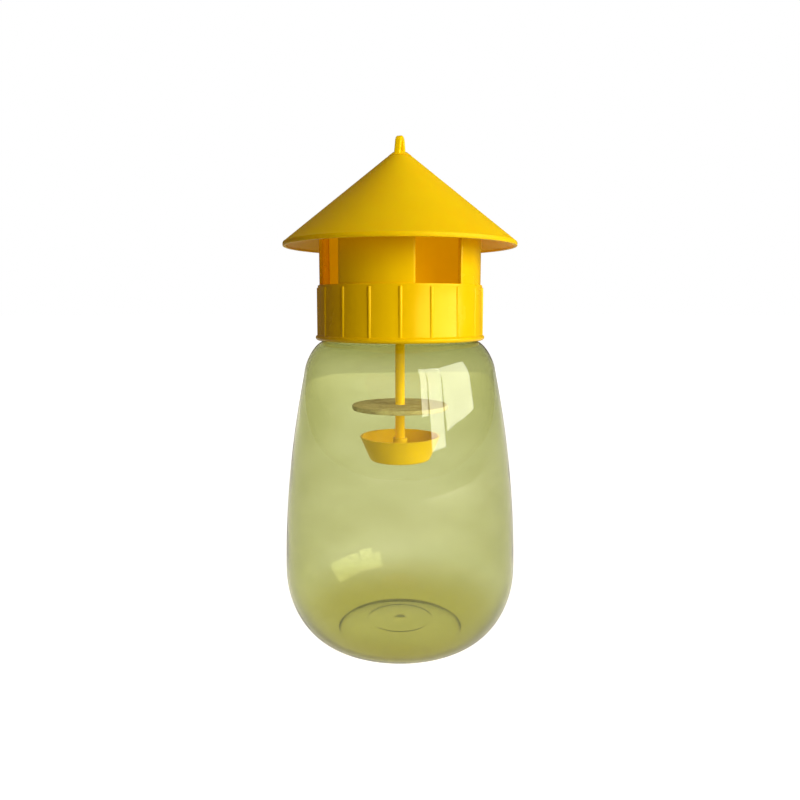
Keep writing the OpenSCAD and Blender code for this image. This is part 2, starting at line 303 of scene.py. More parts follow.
def moulding_group() -> bpy.types.NodeTree:
    """Makes the group for moulded plastic: fine grain, slow clouding and upright flow lines.

    Returns:
        A group with a shade factor, a roughness and a surface height.
    """
    stretched, flow_height, middle = (420.0, 420.0, 9.0), 4.0, 0.5
    group = Group(
        "moulded surface",
        {"Grain Size": 2500.0, "Cloud Size": 60.0, "Flow": 0.5, "Rough": 0.35, "Rough Spread": 0.08},
        {"Shade": Socket.NUMBER, "Roughness": Socket.NUMBER, "Height": Socket.NUMBER},
    )
    place = group.add("TexCoord").outputs["Object"]
    grain = group.add("TexNoise", {"Detail": 3.0})
    group.link(place, grain.inputs["Vector"])
    group.link(group.entry.outputs["Grain Size"], grain.inputs["Scale"])
    cloud = group.add("TexNoise", {"Detail": 4.0})
    group.link(place, cloud.inputs["Vector"])
    group.link(group.entry.outputs["Cloud Size"], cloud.inputs["Scale"])
    stretch = group.add("VectorMath", {1: stretched}, operation="MULTIPLY")
    group.link(place, stretch.inputs[0])
    flow = group.add("TexNoise", {"Scale": 1.0, "Detail": 2.0})
    group.link(stretch.outputs[0], flow.inputs["Vector"])
    mix = group.add("Mix", data_type="FLOAT")
    group.link(group.entry.outputs["Flow"], mix.inputs["Factor"])
    group.link(cloud.outputs["Fac"], mix.inputs["A"])
    group.link(flow.outputs["Fac"], mix.inputs["B"])
    group.link(mix.outputs["Result"], group.exit.inputs["Shade"])
    centred = group.add("Math", {1: middle}, operation="SUBTRACT")
    group.link(mix.outputs["Result"], centred.inputs[0])
    rough = group.add("Math", operation="MULTIPLY_ADD")
    group.link(centred.outputs[0], rough.inputs[0])
    group.link(group.entry.outputs["Rough Spread"], rough.inputs[1])
    group.link(group.entry.outputs["Rough"], rough.inputs[2])
    group.link(rough.outputs[0], group.exit.inputs["Roughness"])
    height = group.add("Math", {1: flow_height}, operation="MULTIPLY_ADD")
    group.link(flow.outputs["Fac"], height.inputs[0])
    group.link(grain.outputs["Fac"], height.inputs[2])
    group.link(height.outputs[0], group.exit.inputs["Height"])
    return group.tree


def dust_group() -> bpy.types.NodeTree:
    """Makes the group for handling marks: faint specks and smears.

    Returns:
        A group with a mask of specks and one of smears.
    """
    group = Group(
        "handling marks",
        {"Speck Size": 900.0, "Speck Amount": 0.12, "Smear Size": 35.0},
        {"Specks": Socket.NUMBER, "Smears": Socket.NUMBER},
    )
    place = group.add("TexCoord").outputs["Object"]
    cells = group.add("TexVoronoi", feature="F1")
    group.link(place, cells.inputs["Vector"])
    group.link(group.entry.outputs["Speck Size"], cells.inputs["Scale"])
    near = group.add("Math", operation="LESS_THAN")
    group.link(cells.outputs["Distance"], near.inputs[0])
    group.link(group.entry.outputs["Speck Amount"], near.inputs[1])
    group.link(near.outputs[0], group.exit.inputs["Specks"])
    smear = group.add("TexNoise", {"Detail": 6.0, "Distortion": 1.5})
    group.link(place, smear.inputs["Vector"])
    group.link(group.entry.outputs["Smear Size"], smear.inputs["Scale"])
    limit = group.add("MapRange", {"From Min": 0.5, "From Max": 0.75})
    group.link(smear.outputs["Fac"], limit.inputs["Value"])
    group.link(limit.outputs["Result"], group.exit.inputs["Smears"])
    return group.tree


def painted_glow_group() -> bpy.types.NodeTree:
    """Makes the group for a painted glow inside the slotted wall, standing in for light that soaks through
    its thin walls.

    Returns:
        A group with the painted glow's colour, black outside that space.
    """
    # Painted glow: the colour that the collar gives off inside the slotted wall, though it is no lamp.
    painted_glow_colour = (1.0, 0.75, 0.0, 1.0)
    group = Group("painted entry glow", {"Radius": 33.4 * MM, "Floor": 158.5 * MM}, {"Colour": Socket.COLOUR})
    place = group.add("TexCoord").outputs["Object"]
    split = group.add("SeparateXYZ")
    group.link(place, split.inputs[0])
    flat = group.add("VectorMath", {1: (1.0, 1.0, 0.0)}, operation="MULTIPLY")
    group.link(place, flat.inputs[0])
    away = group.add("VectorMath", operation="LENGTH")
    group.link(flat.outputs[0], away.inputs[0])
    near = group.add("Math", operation="LESS_THAN")
    group.link(away.outputs["Value"], near.inputs[0])
    group.link(group.entry.outputs["Radius"], near.inputs[1])
    above = group.add("Math", operation="GREATER_THAN")
    group.link(split.outputs["Z"], above.inputs[0])
    group.link(group.entry.outputs["Floor"], above.inputs[1])
    both = group.add("Math", operation="MULTIPLY")
    group.link(near.outputs[0], both.inputs[0])
    group.link(above.outputs[0], both.inputs[1])
    tone = group.add("Mix", {"A": BLACK, "B": painted_glow_colour}, data_type="RGBA")
    group.link(both.outputs[0], tone.inputs["Factor"])
    group.link(tone.outputs["Result"], group.exit.inputs["Colour"])
    return group.tree


@dataclass
class Groups:
    """The shared node groups, each made once."""

    painted_entry_glow: bpy.types.NodeTree = field(default_factory=painted_glow_group)
    moulding: bpy.types.NodeTree = field(default_factory=moulding_group)
    dust: bpy.types.NodeTree = field(default_factory=dust_group)


@dataclass(frozen=True)
class MouldedPlastic:
    """Glossy coloured plastic from a polished mould."""

    name: str
    light: Colour
    deep: Colour
    rough: float = 0.32
    spread: float = 0.1
    flow: float = 0.5
    bump: float = 0.02
    through: float = 0.0
    # The glow fields paint a glow: an emission of the given strength and tint that brightens the part though
    # it is no lamp; with glow inside set, it is kept to the space inside the slotted wall.
    glow: float = 0.0
    painted_glow_inside: bool = False
    painted_glow_tint: Colour = (1.0, 0.62, 0.0)
    smear_rough: float = 0.12
    bump_depth: float = 0.2 * MM
    through_reach: Colour = (1.0, 0.45, 0.02)
    through_depth: float = 5.0 * MM
    ior: float = 1.49
    shine_tint: Colour = (1.0, 0.8, 0.12)

    def make(self, groups: Groups) -> bpy.types.Material:
        """Makes the material.

        Args:
            groups: the shared node groups.

        Returns:
            The new material.
        """
        material, tree, shader = new_material(self.name)
        surface = add_node(
            tree, "Group", {"Flow": self.flow, "Rough": self.rough, "Rough Spread": self.spread},
            node_tree=groups.moulding,
        )
        marks = add_node(tree, "Group", node_tree=groups.dust)
        tone = add_node(tree, "Mix", {"A": (*self.deep, 1.0), "B": (*self.light, 1.0)}, data_type="RGBA")
        tree.links.new(surface.outputs["Shade"], tone.inputs["Factor"])
        tree.links.new(tone.outputs["Result"], shader.inputs["Base Color"])
        rough = add_node(tree, "Math", {1: self.smear_rough}, operation="MULTIPLY_ADD")
        tree.links.new(marks.outputs["Smears"], rough.inputs[0])
        tree.links.new(surface.outputs["Roughness"], rough.inputs[2])
        tree.links.new(rough.outputs[0], shader.inputs["Roughness"])
        bump = add_node(tree, "Bump", {"Strength": self.bump, "Distance": self.bump_depth})
        tree.links.new(surface.outputs["Height"], bump.inputs["Height"])
        tree.links.new(bump.outputs["Normal"], shader.inputs["Normal"])
        # Emission is a painted glow that brightens the part, not a lamp.
        set_values(shader, {
            "Subsurface Weight": self.through,
            "Subsurface Radius": self.through_reach,
            "Subsurface Scale": self.through_depth,
            "Emission Color": (*self.painted_glow_tint, 1.0),
            "Emission Strength": self.glow,
        })
        # The painted glow is kept to the space inside the slotted wall, in the group's colour.
        if self.painted_glow_inside:
            painted_entry_glow = add_node(tree, "Group", node_tree=groups.painted_entry_glow)
            tree.links.new(painted_entry_glow.outputs["Colour"], shader.inputs["Emission Color"])
        set_values(shader, {"IOR": self.ior, "Specular Tint": (*self.shine_tint, 1.0)})
        return material


@dataclass(frozen=True)
class TintedClear:
    """Clear blown plastic with a light tint, a little deeper where the wall is thick, and a painted shade: a
    near-black edge low on the outline that stands in for the heel's dark refraction.
    """

    name: str
    tint: Colour
    thick_tint: Colour
    foot_tint: Colour
    # Painted shade: the near-black colour of the edge low on the outline, standing in for the heel's dark
    # refraction.
    heel_painted_shade: Colour
    foot_top: float = 22.0 * MM
    neck_low: float = 116.0 * MM
    neck_high: float = 146.0 * MM
    ior: float = 1.5
    band_stretch: Colour = (1.0, 1.0, 2.4)
    cloud_size: float = 20.0
    cloud_share: float = 0.7
    # Heights where the painted shade on the heel's edge starts and where it is full.
    painted_shade_top: float = 26.0 * MM
    painted_shade_low: float = 9.0 * MM
    outline_start: float = 0.6
    outline_full: float = 0.8
    smear_rough: float = 0.02
    wave_size: float = 45.0
    wave_strength: float = 0.1
    wave_depth: float = 1.0 * MM

    def make(self, groups: Groups) -> bpy.types.Material:
        """Makes the material.

        Args:
            groups: the shared node groups.

        Returns:
            The new material.
        """
        material, tree, shader = new_material(self.name)
        set_values(shader, {"Transmission Weight": 1.0, "IOR": self.ior})
        place = add_node(tree, "TexCoord")
        split = add_node(tree, "SeparateXYZ")
        tree.links.new(place.outputs["Object"], split.inputs[0])
        foot = add_node(
            tree, "MapRange", {"From Min": self.foot_top, "From Max": 0.0},
            interpolation_type="SMOOTHSTEP",
        )
        tree.links.new(split.outputs["Z"], foot.inputs["Value"])
        neck = add_node(
            tree, "MapRange", {"From Min": self.neck_low, "From Max": self.neck_high},
            interpolation_type="SMOOTHSTEP",
        )
        tree.links.new(split.outputs["Z"], neck.inputs["Value"])
        bands = add_node(tree, "VectorMath", {1: self.band_stretch}, operation="MULTIPLY")
        tree.links.new(place.outputs["Object"], bands.inputs[0])
        cloud = add_node(tree, "TexNoise", {"Scale": self.cloud_size, "Detail": 3.0})
        tree.links.new(bands.outputs[0], cloud.inputs["Vector"])
        steep = add_node(tree, "LayerWeight", {"Blend": 0.5})
        edge = add_node(tree, "Math", operation="MAXIMUM")
        tree.links.new(steep.outputs["Facing"], edge.inputs[0])
        tree.links.new(neck.outputs["Result"], edge.inputs[1])
        amount = add_node(tree, "Math", {1: self.cloud_share}, operation="MULTIPLY_ADD", use_clamp=True)
        tree.links.new(cloud.outputs["Fac"], amount.inputs[0])
        tree.links.new(edge.outputs[0], amount.inputs[2])
        wall = add_node(tree, "Mix", {"A": (*self.tint, 1.0), "B": (*self.thick_tint, 1.0)}, data_type="RGBA")
        tree.links.new(amount.outputs[0], wall.inputs["Factor"])
        tone = add_node(tree, "Mix", {"B": (*self.foot_tint, 1.0)}, data_type="RGBA")
        tree.links.new(wall.outputs["Result"], tone.inputs["A"])
        tree.links.new(foot.outputs["Result"], tone.inputs["Factor"])
        # Painted shade: near-black on the outline low down, standing in for the thick heel's dark refraction.
        low = add_node(tree, "MapRange", {"From Min": self.painted_shade_top, "From Max": self.painted_shade_low})
        tree.links.new(split.outputs["Z"], low.inputs["Value"])
        outline = add_node(tree, "MapRange", {"From Min": self.outline_start, "From Max": self.outline_full})
        tree.links.new(steep.outputs["Facing"], outline.inputs["Value"])
        rim = add_node(tree, "Math", operation="MULTIPLY")
        tree.links.new(low.outputs["Result"], rim.inputs[0])
        tree.links.new(outline.outputs["Result"], rim.inputs[1])
        heel = add_node(tree, "Mix", {"B": (*self.heel_painted_shade, 1.0)}, data_type="RGBA")
        tree.links.new(tone.outputs["Result"], heel.inputs["A"])
        tree.links.new(rim.outputs[0], heel.inputs["Factor"])
        tree.links.new(heel.outputs["Result"], shader.inputs["Base Color"])
        marks = add_node(tree, "Group", node_tree=groups.dust)
        rough = add_node(tree, "MapRange", {"To Min": 0.0, "To Max": self.smear_rough})
        tree.links.new(marks.outputs["Smears"], rough.inputs["Value"])
        tree.links.new(rough.outputs["Result"], shader.inputs["Roughness"])
        wave = add_node(tree, "TexNoise", {"Scale": self.wave_size, "Detail": 1.0})
        tree.links.new(place.outputs["Object"], wave.inputs["Vector"])
        bump = add_node(tree, "Bump", {"Strength": self.wave_strength, "Distance": self.wave_depth})
        tree.links.new(wave.outputs["Fac"], bump.inputs["Height"])
        tree.links.new(bump.outputs["Normal"], shader.inputs["Normal"])
        return material


@dataclass(frozen=True)
class PressedFibre:
    """Pressed fibre board: matted strands with dark flecks."""

    name: str
    pale: Colour
    dark: Colour
    strand_size: float = 900.0
    clump_size: float = 220.0
    darkest: float = 0.12
    palest: float = 0.38
    rough: float = 0.95
    shine: float = 0.15
    bump: float = 0.8
    bump_depth: float = 0.35 * MM

    def make(self, groups: Groups) -> bpy.types.Material:
        """Makes the material.

        Args:
            groups: the shared node groups; not used.

        Returns:
            The new material.
        """
        material, tree, shader = new_material(self.name)
        place = add_node(tree, "TexCoord")
        strands = add_node(tree, "TexNoise", {"Scale": self.strand_size, "Detail": 6.0, "Distortion": 2.5})
        tree.links.new(place.outputs["Object"], strands.inputs["Vector"])
        clumps = add_node(tree, "TexNoise", {"Scale": self.clump_size, "Detail": 4.0})
        tree.links.new(place.outputs["Object"], clumps.inputs["Vector"])
        blend = add_node(tree, "Math", operation="MULTIPLY")
        tree.links.new(strands.outputs["Fac"], blend.inputs[0])
        tree.links.new(clumps.outputs["Fac"], blend.inputs[1])
        spread = add_node(tree, "MapRange", {"From Min": self.darkest, "From Max": self.palest})
        tree.links.new(blend.outputs[0], spread.inputs["Value"])
        tone = add_node(tree, "Mix", {"A": (*self.dark, 1.0), "B": (*self.pale, 1.0)}, data_type="RGBA")
        tree.links.new(spread.outputs["Result"], tone.inputs["Factor"])
        tree.links.new(tone.outputs["Result"], shader.inputs["Base Color"])
        set_values(shader, {"Roughness": self.rough, "Specular IOR Level": self.shine})
        bump = add_node(tree, "Bump", {"Strength": self.bump, "Distance": self.bump_depth})
        tree.links.new(blend.outputs[0], bump.inputs["Height"])
        tree.links.new(bump.outputs["Normal"], shader.inputs["Normal"])
        return material


def dress(piece: bpy.types.Object, material: bpy.types.Material) -> None:
    """Gives a piece its one material.

    Args:
        piece: the piece.
        material: the material.
    """
    piece.data.materials.clear()
    piece.data.materials.append(material)


@dataclass
class Jar:
    """The blown jar with its threaded neck."""

    radius: float = 52.3 * MM
    shoulder: float = 42.6 * MM
    foot: float = 31.2 * MM
    foot_width: float = 2.4 * MM
    heel: float = 31.0 * MM
    body: float = 91.2 * MM
    shoulder_height: float = 13.4 * MM
    neck: float = 33.4 * MM
    neck_wall: float = 1.6 * MM
    wall: float = 1.0 * MM
    pitch: float = 4.2 * MM
    turns: float = 1.25
    ridge: float = 1.1 * MM
    ridge_root: float = 1.0 * MM
    ridge_crest: float = 0.4 * MM
    thread_rise: float = 9.9 * MM
    thread_steps: int = 90
    bury: float = 0.2 * MM
    rim_round: float = 0.5 * MM
    rim_drop: float = 0.7 * MM
    neck_run: float = 0.9 * MM
    heel_out_power: float = 1.1
    heel_up_power: float = 1.06
    foot_share: float = 0.15
    body_power: float = 1.98
    shoulder_power: float = 1.34
    shoulder_sink: float = 0.4
    heel_steps: int = 40
    body_steps: int = 80
    shoulder_steps: int = 30
    smoothing: int = 14
    rings: tuple[tuple[float, float], ...] = (
        (0.0, 4.8), (1.6, 4.75), (2.3, 4.42), (4.0, 4.4), (14.3, 4.4), (14.8, 4.3), (15.2, 4.08),
        (15.8, 3.98),
        (19.0, 3.75), (23.0, 3.3), (26.0, 2.78), (26.9, 2.3), (27.6, 1.4), (28.4, 0.35), (28.8, 0.1),
    )
    crisp_rings: int = 8
    round_steps: int = 160

    def wall_line(self, inset: float) -> Profile:
        """The side of the jar from its foot to its neck.

        Args:
            inset: how far the line lies inside the outer surface.

        Returns:
            The profile's points.
        """
        line: Profile = []
        for i in range(self.heel_steps + 1):
            t = math.radians(90 * i / self.heel_steps)
            r = self.foot + (self.radius - self.foot) * math.sin(t) ** self.heel_out_power
            z = self.heel * (1 - max(math.cos(t), 0.0) ** self.heel_up_power)
            share = self.foot_share + (1 - self.foot_share) * math.sin(t)
            line.append((r - inset * share, z + inset * math.cos(t)))
        for i in range(1, self.body_steps + 1):
            s = i / self.body_steps
            r = self.radius - (self.radius - self.shoulder) * s**self.body_power
            line.append((r - inset, self.heel + self.body * s))
        top = self.neck + self.neck_run
        rise = self.shoulder_height - inset * self.shoulder_sink
        for i in range(1, self.shoulder_steps + 1):
            t = math.radians(90 * i / self.shoulder_steps)
            r = top + (self.shoulder - top) * max(math.cos(t), 0.0) ** self.shoulder_power
            line.append((r - inset, self.heel + self.body + rise * math.sin(t) ** self.shoulder_power))
        return relax(line, self.smoothing)

    def base_line(self, lift: float) -> Profile:
        """The underside from the middle out to the standing ring.

        Args:
            lift: how far the line lies above the lower surface.

        Returns:
            The profile's points.
        """
        line = [(r * MM, z * MM + lift) for r, z in self.rings]
        return [*line[: self.crisp_rings], *relax(line[self.crisp_rings :], 2)]

    def build(self) -> bpy.types.Object:
        """Makes the jar's mesh.

        Returns:
            The jar.
        """
        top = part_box("jar")[1].z
        neck_foot = self.heel + self.body + self.shoulder_height
        inner = self.neck - self.neck_wall
        outside = [
            *self.base_line(0.0), (self.foot - self.foot_width * 0.7, 0.0),
            (self.foot - self.foot_width * 0.2, 0.0),
            *self.wall_line(0.0)[1:], (self.neck + 0.3 * MM, neck_foot + 0.15 * MM),
            (self.neck, neck_foot + 0.5 * MM), (self.neck, top - self.rim_drop),
            *arc((self.neck - self.rim_round, top - self.rim_round), self.rim_round, 0, 90, 5),
        ]
        inside = [
            *self.base_line(self.wall), (self.foot - self.foot_width * 0.6, self.wall),
            *self.wall_line(self.wall)[2:],
            (inner, neck_foot + 2.0 * MM), (inner, top - self.rim_drop),
            *arc((inner + self.rim_round, top - self.rim_round), self.rim_round, 180, 90, 5),
        ]
        shape = Shape("jar_shell")
        shape.spin([*outside, *reversed(inside)], self.round_steps)
        self.thread(shape)
        return shape.finish(Part.JAR, ("jar",), 60)

    def thread(self, shape: Shape) -> None:
        """Winds the screw ridge round the neck.

        Args:
            shape: the mesh being made.
        """
        foot = self.heel + self.body + self.shoulder_height + self.thread_rise
        outline = [
            (self.neck - self.bury, foot - self.ridge_root),
            (self.neck + self.ridge, foot - self.ridge_crest),
            (self.neck + self.ridge, foot + self.ridge_crest),
            (self.neck - self.bury, foot + self.ridge_root),
        ]
        bm = shape.bm
        steps = self.thread_steps
        verts = [bm.verts.new((r, 0, z)) for r, z in outline]
        edges = [bm.edges.new((verts[i], verts[(i + 1) % 4])) for i in range(4)]
        bm.faces.new(verts)
        bmesh.ops.spin(
            bm, geom=verts + edges, cent=(0, 0, 0), axis=AXIS, dvec=(0, 0, self.pitch * self.turns / steps),
            angle=math.radians(FULL_TURN * self.turns), steps=steps, use_merge=False, use_duplicate=False,
        )
        bmesh.ops.holes_fill(bm, edges=[e for e in bm.edges if e.is_boundary], sides=4)


@dataclass
class Collar:
    """The screw collar: ribbed skirt, slotted wall, ledge, crossed baffles and hub."""

    skirt_inner: float = 34.9 * MM
    skirt: float = 36.2 * MM
    skirt_foot: float = 36.5 * MM
    bead: float = 37.45 * MM
    bead_height: float = 2.3 * MM
    skirt_height: float = 23.9 * MM
    wall: float = 35.45 * MM
    wall_thickness: float = 1.8 * MM
    ledge: float = 29.5 * MM
    ledge_thickness: float = 1.8 * MM
    window_height: float = 24.6 * MM
    window_angle: float = 34.6
    band: float = 3.7 * MM
    ribs: int = 18
    rib_width: float = 1.8 * MM
    rib_proud: float = 0.45 * MM
    rib_turn: float = 8.0
    baffle: float = 1.5 * MM
    hub: float = 3.22 * MM
    hub_drop: float = 24.3 * MM
    hub_proud: float = 0.4 * MM
    peg: float = 1.5 * MM
    peg_ring: float = 29.05 * MM
    peg_height: float = 3.5 * MM
    mouth_chamfer: float = 0.5 * MM
    shoulder_round: float = 0.4 * MM
    overlap: float = 0.5 * MM
    window_round: float = 0.3 * MM
    crown_reach: float = 7.2 * MM
    crown_thickness: float = 2 * MM
    rib_foot: float = 0.6
    rib_gap: float = 1.1 * MM
    bore_depth: float = 8.3 * MM
    bore_wall: float = 1.0 * MM
    round_steps: int = 180
    pillar_steps: int = 24
    rib_steps: int = 24
    peg_steps: int = 32
    hub_steps: int = 48
    rib_taper: float = 0.9
    corner: float = 0.8
    tall_edge: float = 1 * MM

    def build(self) -> bpy.types.Object:
        """Makes the collar's mesh.

        Returns:
            The collar.
        """
        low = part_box("collar")[0].z + self.hub_proud
        sill = low + self.skirt_height
        shape = Shape("collar_shell")
        self.skirt_ring(shape, low, sill)
        self.upper_wall(shape, sill)
        self.grip_ribs(shape, low, sill)
        self.inside(shape, sill)
        self.pegs(shape, sill + self.window_height + self.band)
        return shape.finish(Part.LID, ("collar",), 35)

    def skirt_ring(self, shape: Shape, low: float, sill: float) -> None:
        """Spins the skirt with its rolled bead, rounded shoulder and inner ledge.

        Args:
            shape: the mesh being made.
            low: height of the skirt's foot.
            sill: height of the skirt's top.
        """
        half, turn = self.bead_height / 2, self.shoulder_round
        ledge = sill - self.ledge_thickness
        outline = [
            (self.skirt_inner, low + self.mouth_chamfer), (self.skirt_inner + self.mouth_chamfer, low),
            *arc((self.bead - half, low + half), half, -90, 70, 8),
            (self.skirt_foot, low + self.bead_height + 0.2 * MM), (self.skirt, sill - 0.95 * MM),
            *arc((self.skirt - turn, sill - turn), turn, 0, 90, 4),
            (self.ledge + self.window_round, sill), (self.ledge, sill - self.window_round),
            (self.ledge, ledge), (self.skirt_inner, ledge),
        ]
        shape.spin(outline, self.round_steps, closed=True)

    def upper_wall(self, shape: Shape, sill: float) -> None:
        """Spins the four pillars between the windows and the band above them.

        Args:
            shape: the mesh being made.
            sill: height of the windows' lower edge.
        """
        inner = self.wall - self.wall_thickness
        top = sill + self.window_height
        foot, head = sill - self.overlap, top + self.overlap
        pillar = 90 - self.window_angle
        bm = shape.bm
        for i in range(4):
            outline = [(inner, foot), (self.wall, foot), (self.wall, head), (inner, head)]
            before = set(bm.verts)
            shape.spin(outline, self.pillar_steps, closed=True, sweep=pillar, start=90 * i - pillar / 2)
            fresh = [v for v in bm.verts if v not in before]
            ends = [
                e for e in {e for v in fresh for e in v.link_edges}
                if e.is_manifold and abs(e.verts[0].co.z - e.verts[1].co.z) > self.tall_edge
                and e.calc_face_angle(0.0) > self.corner
            ]
            shape.bevel(ends, self.window_round)
        crown = top + self.band
        under, edge = crown - self.crown_thickness, inner - self.crown_reach
        band = [
            (inner, top), (self.wall, top), (self.wall, crown), (edge, crown), (edge, under), (inner, under),
        ]
        shape.spin(band, self.round_steps, closed=True)

    def grip_ribs(self, shape: Shape, low: float, sill: float) -> None:
        """Stands the half-round grip ribs round the skirt.

        Args:
            shape: the mesh being made.
            low: height of the skirt's foot.
            sill: height of the skirt's top.
        """
        start = low + self.bead_height * self.rib_foot
        end = sill - self.rib_gap
        radius = self.rib_width / 2
        away = (self.skirt + self.skirt_foot) / 2 + self.rib_proud - radius
        for i in range(self.ribs):
            made = bmesh.ops.create_cone(
                shape.bm, cap_ends=True, segments=self.rib_steps, radius1=radius,
                radius2=radius * self.rib_taper, depth=end - start,
                matrix=Matrix.Rotation(math.radians(self.rib_turn + FULL_TURN * i / self.ribs), 4, "Z")
                @ Matrix.Translation((away, 0, (start + end) / 2)),
            )
            near = end - 0.01 * MM
            caps = [e for v in made["verts"] for e in v.link_edges if min(w.co.z for w in e.verts) > near]
            shape.bevel(list(set(caps)), self.shoulder_round)

    def pegs(self, shape: Shape, crown: float) -> None:
        """Stands the four pegs that hold the roof on the crown ring.

        Args:
            shape: the mesh being made.
            crown: height of the crown ring's top.
        """
        middle = crown + (self.peg_height - self.overlap) / 2
        for i in range(4):
            bmesh.ops.create_cone(
                shape.bm, cap_ends=True, segments=self.peg_steps, radius1=self.peg, radius2=self.peg,
                depth=self.peg_height + self.overlap,
                matrix=Matrix.Rotation(math.radians(90 * i), 4, "Z")
                @ Matrix.Translation((self.peg_ring, 0, middle)),
            )

    def inside(self, shape: Shape, sill: float) -> None:
        """Adds the crossed baffles and the hub under them.

        Args:
            shape: the mesh being made.
            sill: height of the ledge's top.
        """
        bm = shape.bm
        reach = self.wall - self.wall_thickness / 2
        low = sill - self.ledge_thickness
        high = sill + self.window_height + self.band
        for turn in (0.0, 90.0):
            bmesh.ops.create_cube(
                bm, size=1.0,
                matrix=Matrix.Rotation(math.radians(turn), 4, "Z")
                @ Matrix.Translation((0, 0, (low + high) / 2))
                @ Matrix.Diagonal((2 * reach, self.baffle, high - low, 1.0)),
            )
        foot = sill - self.hub_drop
        bore, end, edge = self.hub - self.bore_wall, foot + self.bore_depth, 0.2 * MM
        tube = [
            (0.0, end), (bore, end), (bore, foot), (self.hub - edge, foot), (self.hub, foot + edge),
            (self.hub, sill), (0.0, sill),
        ]
        shape.spin(tube, self.hub_steps)


@dataclass
class Roof:
    """The conical roof with its upright lip."""

    radius: float = 51.0 * MM
    slope: float = 38.93
    sheet: float = 1.5 * MM
    lip: float = 1.6 * MM
    tip: float = 5.2 * MM
    hollow_tip: float = 4.5 * MM
    steps: int = 40
    round_steps: int = 200

    def build(self) -> bpy.types.Object:
        """Makes the roof's mesh.

        Returns:
            The roof.
        """
        low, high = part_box("roof")
        rise = math.tan(math.radians(self.slope))
        rim = low.z + self.lip
        under = self.sheet / math.cos(math.radians(self.slope))
        peak = rim + rise * self.radius

        def cone(r: float, drop: float = 0.0) -> tuple[float, float]:
            """A point of the roof's slope.

            Args:
                r: radius of the point.
                drop: how far it lies below the outer surface.

            Returns:
                The point as radius and height.
            """
            return (r, peak - rise * r - drop)

        n, wide = self.steps, self.radius
        hollow = wide - self.sheet
        outer = [cone(self.tip + (wide - 0.7 * MM - self.tip) * i / n) for i in range(n + 1)]
        inner = [cone(hollow - (hollow - self.hollow_tip) * i / n, under) for i in range(n + 1)]
        edge = [
            (wide - 0.25 * MM, cone(wide - 0.4 * MM)[1] - 0.05 * MM), (wide, rim - 0.35 * MM),
            (wide, low.z + 0.35 * MM), (wide - 0.1 * MM, low.z + 0.1 * MM), (wide - 0.35 * MM, low.z),
            (hollow + 0.45 * MM, low.z), (hollow + 0.15 * MM, low.z + 0.15 * MM),
        ]
        shape = Shape("roof_shell")
        tip = [(0, high.z), (self.tip - 0.25 * MM, high.z), (self.tip, high.z - 0.1 * MM)]
        shape.spin([*tip, *outer[1:], *edge, *inner, (0, inner[-1][1])], self.round_steps)
        return shape.finish(Part.TOP, ("roof",), 35)


@dataclass
class Loop:
    """The small arched loop on the roof's tip."""

    foot_width: float = 9.4 * MM
    top_width: float = 6.4 * MM
    strap: float = 1.8 * MM
    depth: float = 2.8 * MM
    base_radius: float = 5.15 * MM
    base_height: float = 1.7 * MM
    slope: float = 38.93
    gap: float = 0.05 * MM
    bury: float = 0.1 * MM
    stub: float = 1.9 * MM
    barb: float = 2.35 * MM
    barb_height: float = 2.2 * MM
    barb_taper: float = 0.5 * MM
    leg_steps: int = 6
    base_steps: int = 64
    peg_steps: int = 40
    edge_round: float = 0.6 * MM

    def build(self) -> bpy.types.Object:
        """Makes the loop's mesh.

        Returns:
            The loop.
        """
        low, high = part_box("hanging_loop")
        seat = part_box("roof")[1].z + self.gap
        shape = Shape("loop_shell")
        self.strap_arch(shape, seat + self.bury, high.z)
        r, h = self.base_radius, self.base_height
        run = h / math.tan(math.radians(self.slope))
        base = [
            (0, seat), (r - 0.15 * MM, seat), (r, seat + 0.05 * MM), (r - 0.9 * run, seat + 0.9 * h),
            (r - 1.3 * run, seat + h), (0, seat + h),
        ]
        shape.spin(base, self.base_steps)
        top, wide = seat + self.bury, low.z + self.barb_height
        peg = [
            (0, top), (self.stub, top), (self.stub, wide), (self.barb, wide),
            (self.stub - self.barb_taper, low.z), (0, low.z),
        ]
        shape.spin(peg, self.peg_steps)
        return shape.finish(Part.TOP, ("hanging_loop",), 40)

    def strap_arch(self, shape: Shape, foot: float, top: float) -> None:
        """Sweeps the strap along its arch.

        Args:
            shape: the mesh being made.
            foot: height of the strap's two ends.
            top: height of the arch.
        """
        bm = shape.bm
        radius = (self.top_width - self.strap) / 2
        bend = top - self.top_width / 2
        half = (self.foot_width - self.strap) / 2
        n = self.leg_steps
        leg = [(half + (radius - half) * i / n, foot + (bend - foot) * i / n) for i in range(n)]
        path = [*leg, *arc((0.0, bend), radius, 0, 180, 16), *[(-y, z) for y, z in reversed(leg)]]
        across, through = self.depth / 2, self.strap / 2
        sides = [(-across, -through), (across, -through), (across, through), (-across, through)]
        rows = []
        for i, (y, z) in enumerate(path):
            before, after = path[max(i - 1, 0)], path[min(i + 1, len(path) - 1)]
            along = Vector((0, after[0] - before[0], after[1] - before[1])).normalized()
            out = Vector((0, along.z, -along.y))
            rows.append([bm.verts.new(Vector((x, y, z)) + out * d) for x, d in sides])
        rings = [[bm.edges.new((row[k], row[(k + 1) % 4])) for k in range(4)] for row in rows]
        for first, second in zip(rings, rings[1:]):
            bmesh.ops.bridge_loops(bm, edges=first + second)
        bmesh.ops.holes_fill(bm, edges=[e for e in bm.edges if e.is_boundary], sides=4)
        shape.soften(self.edge_round, 4, 60)


